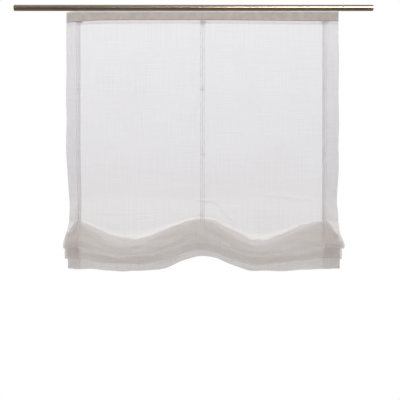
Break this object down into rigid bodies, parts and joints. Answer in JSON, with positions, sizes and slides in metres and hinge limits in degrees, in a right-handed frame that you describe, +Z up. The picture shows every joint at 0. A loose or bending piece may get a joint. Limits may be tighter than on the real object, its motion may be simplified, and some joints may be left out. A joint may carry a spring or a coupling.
{
  "type": "roman blind",
  "caption": "Soft roman blind of sheer fabric on a round inside-track rod, half drawn up into hanging folds by cords through rings.",
  "frame": {"origin": "centre of the rod's left end face, on the rod's axis", "axes": "+X along the rod to the right, -Y towards the room, +Z up"},
  "size_m": [1.32, 0.0802, 0.962],
  "materials": {
    "nickel_rod": "satin",
    "nickel_plug": "satin",
    "sheer_fabric": "matte",
    "header_tape": "matte",
    "ring_tape": "matte",
    "cord": "matte",
    "glider_nylon": "satin",
    "hook_plastic": "satin",
    "ring_plastic": "gloss",
    "stopper_plastic": "satin",
    "spring_steel": "satin"
  },
  "bodies": {
    "rod": {"rod_tube": "nickel_rod", "end_plug_left": "nickel_plug", "end_plug_right": "nickel_plug"},
    "blind": {"header_tape": "header_tape", "fabric_panel": "sheer_fabric", "glider_01": "glider_nylon", "glider_02": "glider_nylon", "glider_03": "glider_nylon", "glider_04": "glider_nylon", "glider_05": "glider_nylon", "glider_06": "glider_nylon", "glider_07": "glider_nylon", "glider_08": "glider_nylon", "glider_09": "glider_nylon", "glider_10": "glider_nylon", "glider_11": "glider_nylon", "glider_12": "glider_nylon", "curtain_hook_01": "hook_plastic", "curtain_hook_02": "hook_plastic", "curtain_hook_03": "hook_plastic", "curtain_hook_04": "hook_plastic", "curtain_hook_05": "hook_plastic", "curtain_hook_06": "hook_plastic", "curtain_hook_07": "hook_plastic", "curtain_hook_08": "hook_plastic", "curtain_hook_09": "hook_plastic", "curtain_hook_10": "hook_plastic", "curtain_hook_11": "hook_plastic", "curtain_hook_12": "hook_plastic", "ring_tape_left": "ring_tape", "ring_tape_centre": "ring_tape", "ring_tape_right": "ring_tape", "lift_cord_left": "cord", "lift_cord_centre": "cord", "lift_cord_right": "cord", "ring_left_1": "ring_plastic", "ring_centre_1": "ring_plastic", "ring_right_1": "ring_plastic", "stopper_body_left": "stopper_plastic", "stopper_body_centre": "stopper_plastic", "stopper_body_right": "stopper_plastic", "stopper_spring_left": "spring_steel", "stopper_spring_centre": "spring_steel", "stopper_spring_right": "spring_steel"},
    "second_ring_row": {"ring_left_2": "ring_plastic", "ring_centre_2": "ring_plastic", "ring_right_2": "ring_plastic"},
    "third_ring_row": {"ring_left_3": "ring_plastic", "ring_centre_3": "ring_plastic", "ring_right_3": "ring_plastic"},
    "gathered_folds": {"fold_stack": "sheer_fabric", "gathered_rings_left": "ring_plastic", "gathered_rings_centre": "ring_plastic", "gathered_rings_right": "ring_plastic"},
    "plunger_left": {"stopper_plunger_left": "stopper_plastic"},
    "plunger_centre": {"stopper_plunger_centre": "stopper_plastic"},
    "plunger_right": {"stopper_plunger_right": "stopper_plastic"}
  },
  "joints": [
    {"name": "traverse", "type": "slide", "parent": "rod", "child": "blind", "axis": [1, 0, 0], "range_m": [-0.15, 0.09]},
    {"name": "lift", "type": "slide", "parent": "blind", "child": "gathered_folds", "axis": [0, 0, 1], "range_m": [-0.45, 0.48], "deforming": ["fabric_panel", "ring_tape_left", "lift_cord_left", "ring_tape_centre", "lift_cord_centre", "ring_tape_right", "lift_cord_right"]},
    {"name": "second_row_rise", "type": "slide", "parent": "blind", "child": "second_ring_row", "axis": [0, 0, 1], "range_m": [-0.1414, 0.1507]},
    {"name": "third_row_rise", "type": "slide", "parent": "blind", "child": "third_ring_row", "axis": [0, 0, 1], "range_m": [-0.3454, 0.3684]},
    {"name": "press_plunger_left", "type": "slide", "parent": "blind", "child": "plunger_left", "axis": [-1, 0, 0], "range_m": [0, 0.003], "stiffness_N_per_m": 400, "deforming": ["stopper_spring_left"]},
    {"name": "press_plunger_centre", "type": "slide", "parent": "blind", "child": "plunger_centre", "axis": [-1, 0, 0], "range_m": [0, 0.003], "stiffness_N_per_m": 400, "deforming": ["stopper_spring_centre"]},
    {"name": "press_plunger_right", "type": "slide", "parent": "blind", "child": "plunger_right", "axis": [-1, 0, 0], "range_m": [0, 0.003], "stiffness_N_per_m": 400, "deforming": ["stopper_spring_right"]}
  ],
  "couplings": [
    {"joint": "second_row_rise", "follows": "lift", "ratio": 0.313},
    {"joint": "third_row_rise", "follows": "lift", "ratio": 0.7665}
  ]
}
